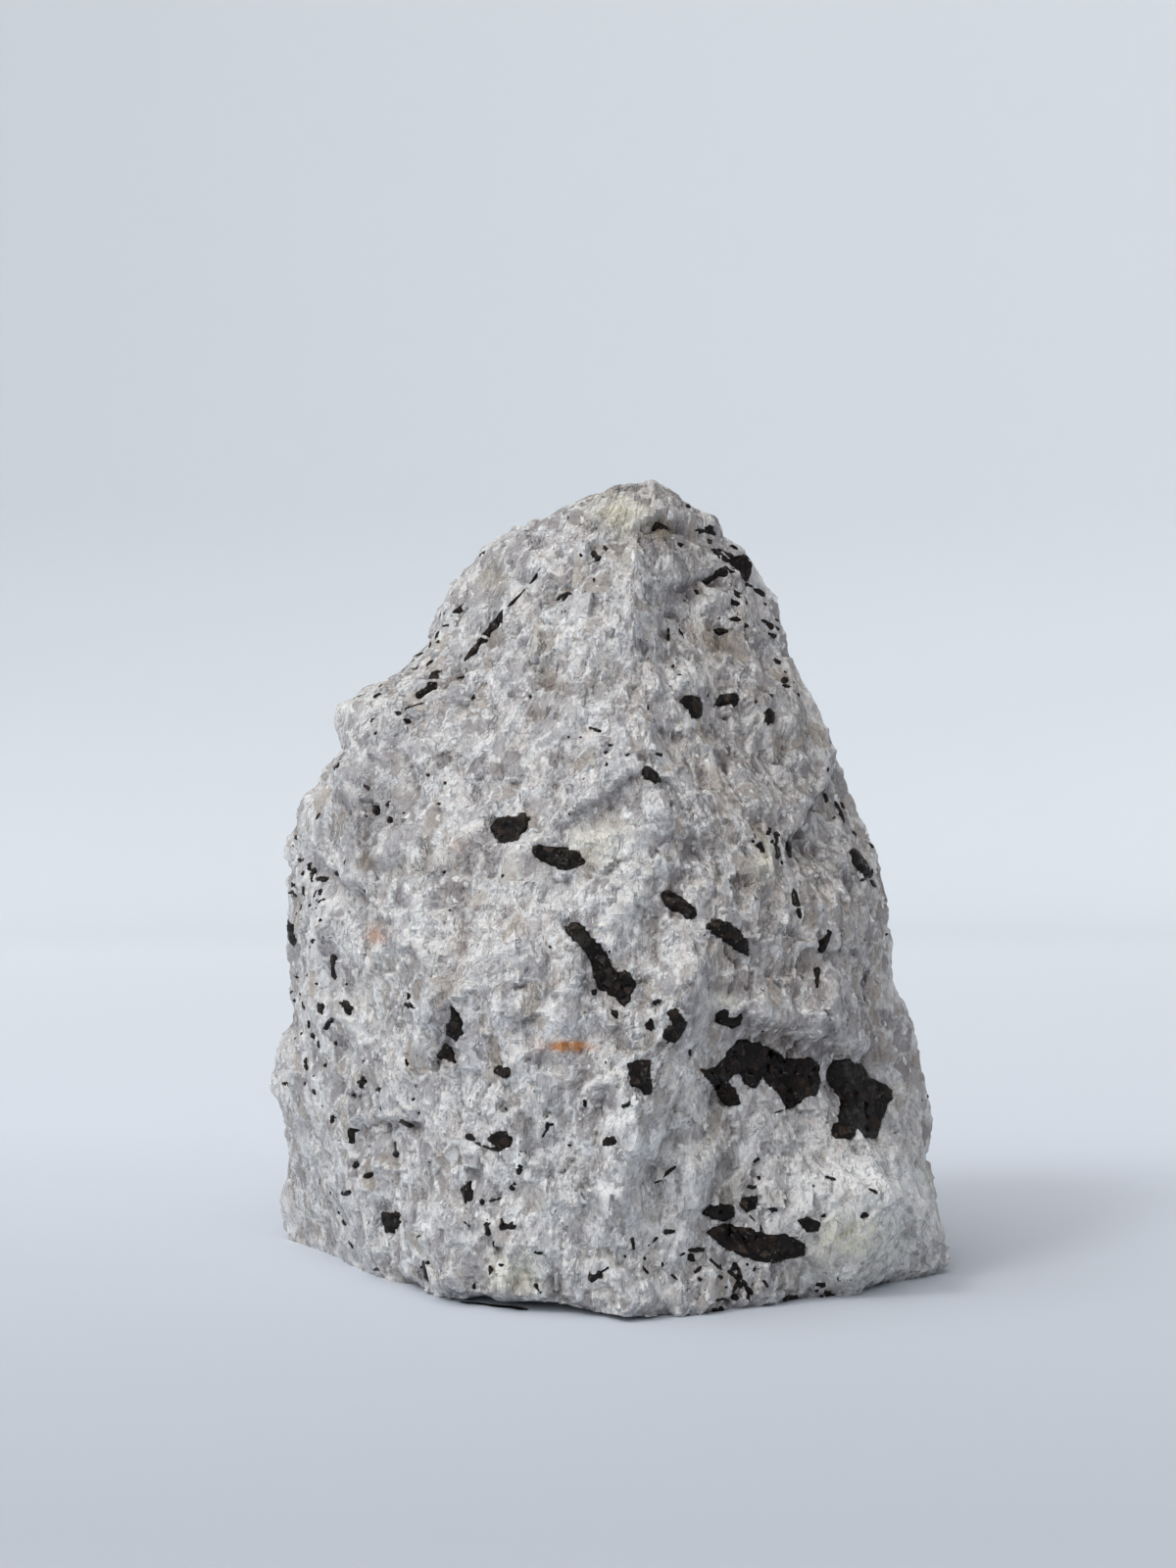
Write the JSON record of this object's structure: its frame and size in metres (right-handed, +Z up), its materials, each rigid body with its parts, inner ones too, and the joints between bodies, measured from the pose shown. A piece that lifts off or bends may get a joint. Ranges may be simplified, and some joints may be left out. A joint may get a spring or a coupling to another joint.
{
  "type": "tourmalinated quartz specimen",
  "caption": "Rough broken lump of white milky quartz with black tourmaline crystals set in it, upright on its flat broken base.",
  "frame": {"origin": "a point near the middle of the flat base, on the resting plane, straight under the middle of the front view", "axes": "+Z up from the base to the crown, the broad ridged front faces -Y, +X to the right as the front is seen"},
  "size_m": [0.0858, 0.0582, 0.0981],
  "materials": {
    "milky_quartz": "broken, granular, with a vitreous sparkle",
    "black_tourmaline": "glossy, finely striated and fractured"
  },
  "bodies": {
    "root": {"quartz_matrix": "milky_quartz", "tourmaline_great": "black_tourmaline", "tourmaline_right_block": "black_tourmaline", "tourmaline_spindle": "black_tourmaline", "tourmaline_club": "black_tourmaline", "tourmaline_stub": "black_tourmaline", "tourmaline_lens": "black_tourmaline", "tourmaline_upper_bar": "black_tourmaline", "tourmaline_lower_bar": "black_tourmaline", "tourmaline_small_block": "black_tourmaline", "tourmaline_hook": "black_tourmaline", "tourmaline_curl": "black_tourmaline", "tourmaline_cap": "black_tourmaline", "tourmaline_knob": "black_tourmaline", "tourmaline_thorn": "black_tourmaline", "tourmaline_face_left": "black_tourmaline", "tourmaline_face_right": "black_tourmaline", "tourmaline_slip": "black_tourmaline", "tourmaline_shard": "black_tourmaline", "tourmaline_edge_bar": "black_tourmaline", "tourmaline_streak": "black_tourmaline", "tourmaline_shoulder": "black_tourmaline", "tourmaline_crown": "black_tourmaline", "tourmaline_flame": "black_tourmaline", "tourmaline_flame_foot": "black_tourmaline", "tourmaline_seed": "black_tourmaline", "tourmaline_belt_block": "black_tourmaline", "tourmaline_low_block": "black_tourmaline", "tourmaline_wedge": "black_tourmaline", "tourmaline_back_great": "black_tourmaline", "tourmaline_back_bar": "black_tourmaline", "tourmaline_back_slab": "black_tourmaline", "tourmaline_back_shard": "black_tourmaline", "tourmaline_back_foot": "black_tourmaline", "tourmaline_right_side_bar": "black_tourmaline", "tourmaline_right_side_block": "black_tourmaline", "tourmaline_left_side_block": "black_tourmaline", "tourmaline_left_side_bar": "black_tourmaline"}
  },
  "joints": []
}
